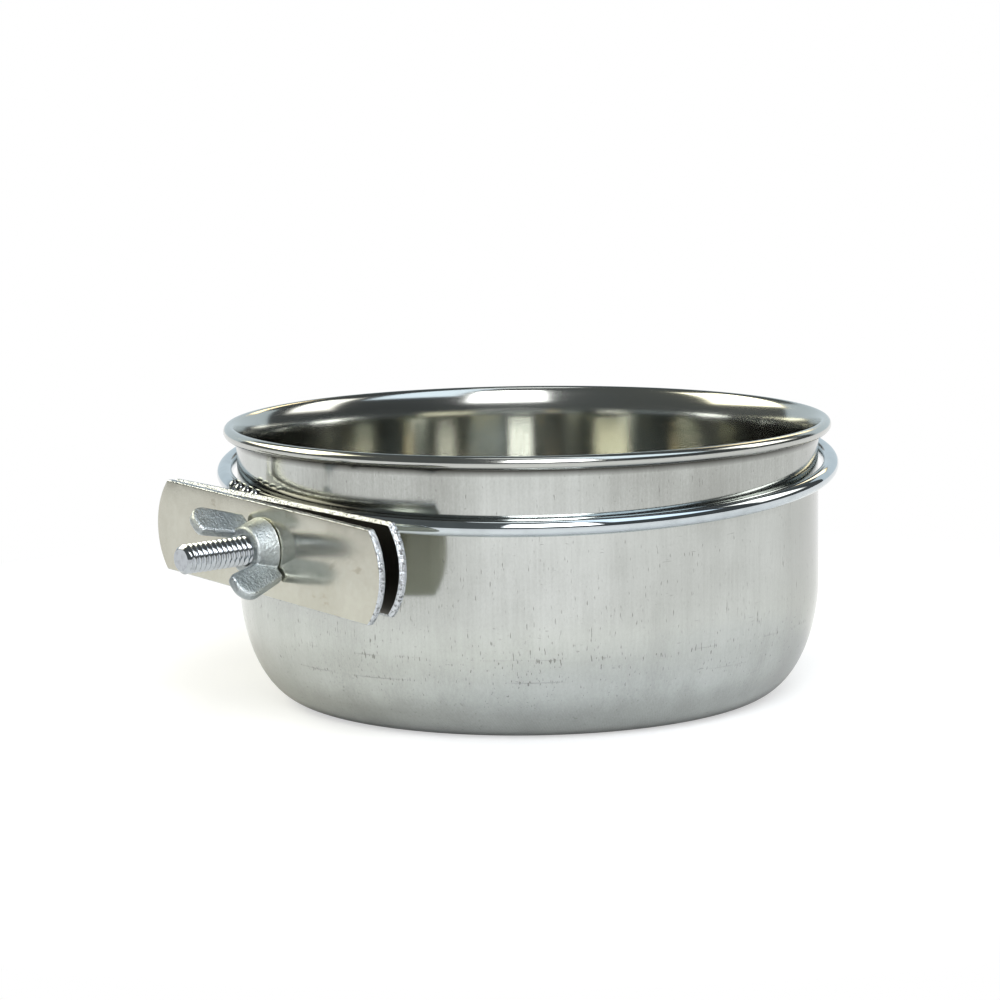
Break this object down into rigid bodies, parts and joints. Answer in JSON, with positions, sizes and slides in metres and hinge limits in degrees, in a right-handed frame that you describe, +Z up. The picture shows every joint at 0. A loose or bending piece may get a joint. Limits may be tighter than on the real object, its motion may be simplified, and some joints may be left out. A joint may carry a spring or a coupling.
{
  "type": "clamp-on seed cup",
  "caption": "Round steel bowl with a rolled rim in a wire ring, held to cage bars by a flat two-plate jaw that a bolt and wing nut draw together.",
  "frame": {"origin": "middle of the bowl's flat base, on the bowl's axis, at table level", "axes": "+Z up along the bowl's axis, -Y outwards along the bolt, +X to the right of the jaw seen from outside"},
  "size_m": [0.1392, 0.1668, 0.0615],
  "materials": {
    "bowl_steel": "satin outside with fine draw lines, polished inside and on the rim",
    "ring_chrome": "bright plated wire",
    "plate_nickel": "warm bright nickel with polished edges",
    "bolt_chrome": "bright plated",
    "nut_zinc": "grainy grey die casting with bright worn edges"
  },
  "bodies": {
    "bracket": {"support_ring": "ring_chrome", "back_plate": "plate_nickel", "carriage_bolt": "bolt_chrome"},
    "bowl": {"bowl": "bowl_steel"},
    "clamp_plate": {"clamp_plate": "plate_nickel"},
    "wing_nut": {"wing_nut": "nut_zinc"}
  },
  "joints": [
    {"name": "bowl_lift", "type": "slide", "parent": "bracket", "child": "bowl", "axis": [0, 0, 1], "range_m": [0, 0.06]},
    {"name": "clamp_slide", "type": "slide", "parent": "bracket", "child": "clamp_plate", "axis": [0, -1, 0], "range_m": [0, 0.0163]},
    {"name": "wing_nut_turn", "type": "hinge", "parent": "clamp_plate", "child": "wing_nut", "pos_m": [0, -0.07602, 0.04083], "axis": [0, -1, 0], "range_deg": [0, 4590]}
  ],
  "couplings": [
    {"joint": "clamp_slide", "follows": "wing_nut_turn", "m_per_rad": 0.00020213}
  ]
}
